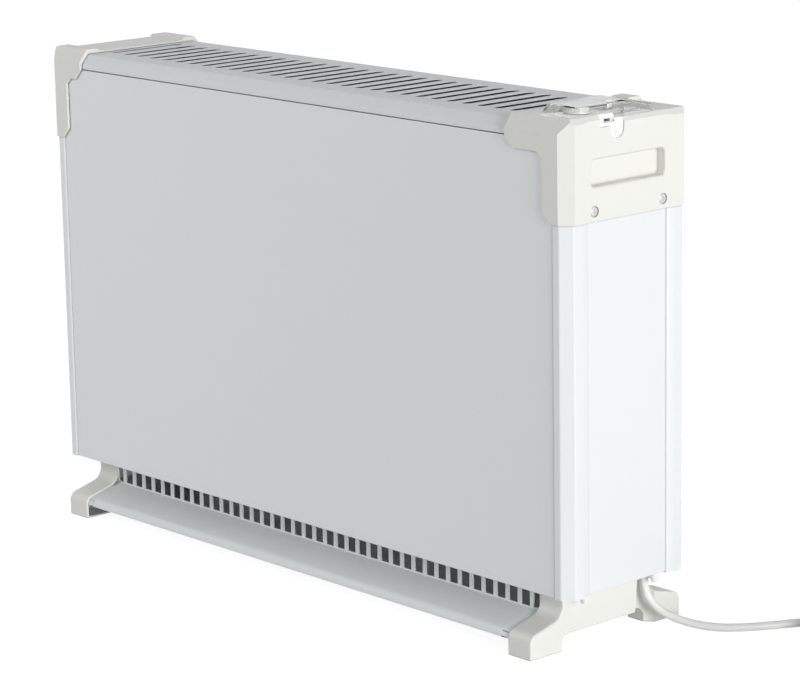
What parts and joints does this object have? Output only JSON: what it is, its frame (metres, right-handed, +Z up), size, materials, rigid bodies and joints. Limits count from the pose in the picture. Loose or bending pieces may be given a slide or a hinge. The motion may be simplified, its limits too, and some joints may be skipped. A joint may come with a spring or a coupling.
{
  "type": "portable space heater",
  "caption": "Free-standing electric convector heater: slim sheet-metal casing with a slotted top, two plastic feet, end caps with hand grips and a lidded control panel.",
  "frame": {"origin": "on the floor under the middle of the casing", "axes": "+X along the casing to the control end, +Y to the rear, +Z up"},
  "size_m": [0.9556, 0.3082, 0.474],
  "materials": {
    "casing_paint": "smooth cool white powder coat",
    "rail_paint": "smooth pale grey powder coat",
    "zinc_steel": "galvanised sheet",
    "dark_steel": "dark heat-proof coat",
    "cap_plastic": "satin warm white moulding",
    "bright_steel": "bright zinc",
    "white_steel": "white enamel",
    "element_alloy": "extruded, heat-dulled",
    "ceramic": "unglazed steatite",
    "dark_plastic": "fine spark texture",
    "housing_plastic": "satin moulding",
    "rocker_plastic": "polished",
    "terminal_plastic": "plain moulding",
    "lead_rubber": "satin white PVC",
    "brown_wire": "satin insulation",
    "blue_wire": "satin insulation",
    "knob_plastic": "fine spark texture",
    "lamp_lens": "clear orange lens",
    "clear_plastic": "clear moulding",
    "tie_plastic": "woven strap",
    "pin_brass": "nickel-bright brass"
  },
  "bodies": {
    "root": {"front_panel": "casing_paint", "rear_panel": "casing_paint", "post_front_right": "casing_paint", "post_rear_right": "casing_paint", "post_front_left": "casing_paint", "post_rear_left": "casing_paint", "end_panel_right": "casing_paint", "end_panel_left": "casing_paint", "top_grille": "casing_paint", "base_pan": "zinc_steel", "intake_rail_front": "rail_paint", "intake_rail_rear": "rail_paint", "bottom_cover": "zinc_steel", "foot_right": "cap_plastic", "foot_left": "cap_plastic", "foot_screws": "bright_steel", "rail_screws": "bright_steel", "end_screws": "white_steel", "bulkhead_right": "zinc_steel", "bulkhead_left": "zinc_steel", "baffle_front": "dark_steel", "baffle_rear": "dark_steel", "element_front": "element_alloy", "element_rear": "element_alloy", "element_bushes": "ceramic", "thermal_cutout": "dark_plastic", "terminal_block": "terminal_plastic", "inner_lead": "lead_rubber", "control_wires": "brown_wire", "element_wires": "blue_wire", "end_cap_right": "cap_plastic", "end_cap_left": "cap_plastic", "cap_screws": "bright_steel", "thermostat": "dark_plastic", "switch_housing_power": "housing_plastic", "switch_housing_heat": "housing_plastic", "pilot_lamp": "lamp_lens", "lid_pin": "bright_steel", "strain_relief": "lead_rubber", "mains_lead": "lead_rubber", "lead_coil": "lead_rubber", "lead_tail": "lead_rubber", "lead_tie": "tie_plastic", "mains_plug": "lead_rubber", "plug_pins": "pin_brass"},
    "lid": {"lid": "clear_plastic"},
    "knob": {"thermostat_knob": "knob_plastic", "thermostat_spindle": "bright_steel"},
    "power_switch": {"power_rocker": "rocker_plastic"},
    "heat_switch": {"heat_rocker": "rocker_plastic"}
  },
  "joints": [
    {"name": "lid_hinge", "type": "hinge", "parent": "root", "child": "lid", "pos_m": [0.315, 0, 0.4652], "axis": [0, -1, 0], "range_deg": [0, 100]},
    {"name": "thermostat_turn", "type": "hinge", "parent": "root", "child": "knob", "pos_m": [0.332, -0.038, 0.465], "axis": [0, 0, 1], "range_deg": [0, 270]},
    {"name": "power_rock", "type": "hinge", "parent": "root", "child": "power_switch", "pos_m": [0.3315, -0.004, 0.4585], "axis": [1, 0, 0], "range_deg": [0, 18]},
    {"name": "heat_rock", "type": "hinge", "parent": "root", "child": "heat_switch", "pos_m": [0.3315, 0.02, 0.4585], "axis": [1, 0, 0], "range_deg": [0, 18]}
  ]
}
